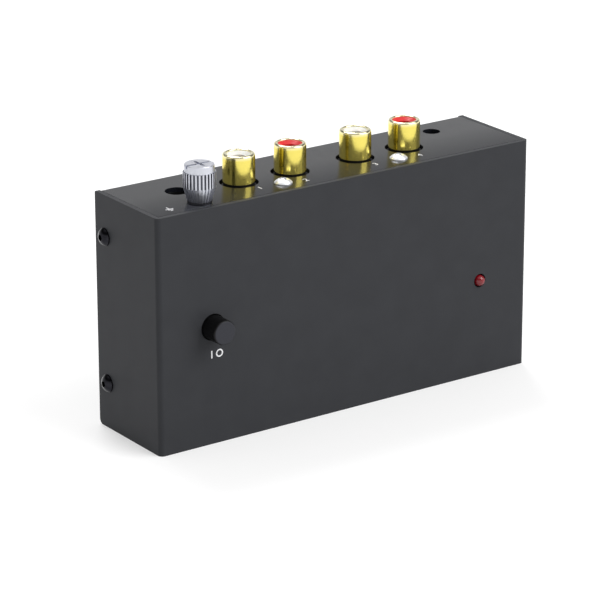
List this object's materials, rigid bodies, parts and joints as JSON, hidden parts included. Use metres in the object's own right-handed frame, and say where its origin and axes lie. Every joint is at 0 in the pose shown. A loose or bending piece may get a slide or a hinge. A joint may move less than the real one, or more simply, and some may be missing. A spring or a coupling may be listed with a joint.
{
  "type": "phono preamp",
  "caption": "Small folded-steel phono preamplifier box with gold phono sockets, a ground thumb screw, a power button, a status lamp and two inlets.",
  "frame": {"origin": "centre of the case's long side face that it stands on", "axes": "+X along the case towards the output pair, -Y out of the broad cover face that carries the button, +Z out of the connector panel"},
  "size_m": [0.1178, 0.0358, 0.0717],
  "materials": {
    "chip_black": "moulded epoxy",
    "tinned_lead": "tinned",
    "case_coat": "fine satin charcoal coat",
    "plated_steel": "zinc plated",
    "board_green": "lacquered glass laminate",
    "capacitor_sleeve": "shrink sleeve",
    "black_steel": "blackened steel, semi-gloss",
    "jack_black": "moulded",
    "film_box": "moulded box",
    "bright_steel": "bright nickel plate",
    "washer_dark": "blackened",
    "gold_shell": "polished gold plate",
    "insulator_white": "moulded",
    "insulator_red": "moulded",
    "satin_nickel": "satin nickel plate",
    "button_black": "fine matt moulding",
    "resistor_blue": "lacquer",
    "foot_rubber": "matt rubber",
    "lamp_red": "clear red epoxy",
    "contact_copper": "tinned copper alloy",
    "switch_plastic": "moulded"
  },
  "bodies": {
    "case": {"amplifier_chips": "chip_black", "amplifier_pins": "tinned_lead", "base_tray": "case_coat", "board_screws": "plated_steel", "board_standoffs": "plated_steel", "circuit_board": "board_green", "connector_panel": "case_coat", "coupling_capacitors": "capacitor_sleeve", "cover_screws": "black_steel", "dc_inlet_body": "jack_black", "dc_inlet_leaf": "tinned_lead", "dc_inlet_pin": "tinned_lead", "film_capacitors": "film_box", "ground_nut": "plated_steel", "input_jack_body": "jack_black", "input_left_contact": "gold_shell", "input_left_insulator": "insulator_white", "input_left_shell": "gold_shell", "input_right_contact": "gold_shell", "input_right_insulator": "insulator_red", "input_right_shell": "gold_shell", "jack_screws": "satin_nickel", "led_legs": "tinned_lead", "led_spacer": "jack_black", "line_jack_body": "jack_black", "line_jack_contacts": "tinned_lead", "output_jack_body": "jack_black", "output_left_contact": "gold_shell", "output_left_insulator": "insulator_white", "output_left_shell": "gold_shell", "output_right_contact": "gold_shell", "output_right_insulator": "insulator_red", "output_right_shell": "gold_shell", "regulator_legs": "tinned_lead", "regulators": "chip_black", "resistors": "resistor_blue", "rubber_feet": "foot_rubber", "status_led": "lamp_red", "supply_capacitors": "capacitor_sleeve", "supply_diode": "chip_black", "switch_floor": "switch_plastic", "switch_housing": "switch_plastic", "switch_latch_wire": "plated_steel", "switch_spring": "plated_steel", "switch_terminals": "contact_copper", "top_cover": "case_coat"},
    "button": {"power_button": "button_black", "switch_plunger": "switch_plastic", "switch_bridge": "contact_copper"},
    "washer": {"ground_washer": "washer_dark"},
    "thumb_screw": {"ground_screw": "bright_steel"}
  },
  "joints": [
    {"name": "power_button_press", "type": "slide", "parent": "case", "child": "button", "axis": [0, 1, 0], "range_m": [0, 0.0025], "stiffness_N_per_m": 250, "springref_m": -0.006, "deforming": ["switch_spring"]},
    {"name": "ground_screw_lift", "type": "slide", "parent": "case", "child": "washer", "axis": [0, 0, 1], "range_m": [0, 0.003]},
    {"name": "ground_screw_turn", "type": "hinge", "parent": "washer", "child": "thumb_screw", "pos_m": [-0.0411, -0.0082, 0.062], "axis": [0, 0, 1], "range_deg": [0, 2160]}
  ],
  "couplings": [
    {"joint": "ground_screw_turn", "follows": "ground_screw_lift", "rad_per_m": 12566}
  ]
}
